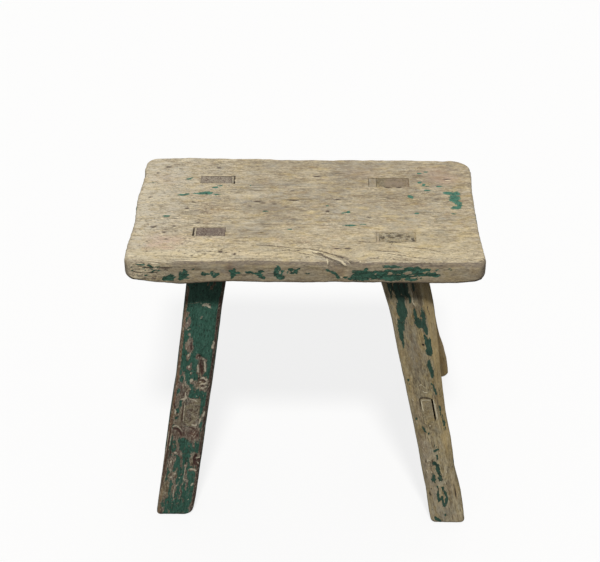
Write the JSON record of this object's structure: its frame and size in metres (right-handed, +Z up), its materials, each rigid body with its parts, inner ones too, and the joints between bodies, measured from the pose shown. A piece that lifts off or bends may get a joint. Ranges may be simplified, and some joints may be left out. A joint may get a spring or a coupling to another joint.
{
  "type": "wooden milking stool",
  "caption": "Low rectangular plank stool on splayed wedged-through legs, braced by a stretcher on each side.",
  "frame": {"origin": "on the floor, under the middle of the stool's footprint box", "axes": "+Z up, +X along the plank to the sitter's right, -Y towards the front long edge"},
  "size_m": [0.3634, 0.2876, 0.32],
  "materials": {
    "seat_wood": "dry weathered softwood, traces of green paint",
    "painted_leg": "worn dark green paint over brown wood",
    "bare_leg": "dry bare wood, streaks of green paint",
    "stretcher_wood": "dry bare wood, traces of green paint",
    "wedge_wood": "dry split end grain"
  },
  "bodies": {
    "root": {"seat_plank": "seat_wood", "leg_front_left": "painted_leg", "leg_front_right": "bare_leg", "leg_back_left": "painted_leg", "leg_back_right": "bare_leg", "stretcher_left": "stretcher_wood", "stretcher_right": "stretcher_wood", "wedge_front_left": "wedge_wood", "wedge_front_right": "wedge_wood", "wedge_back_left": "wedge_wood", "wedge_back_right": "wedge_wood"}
  },
  "joints": []
}
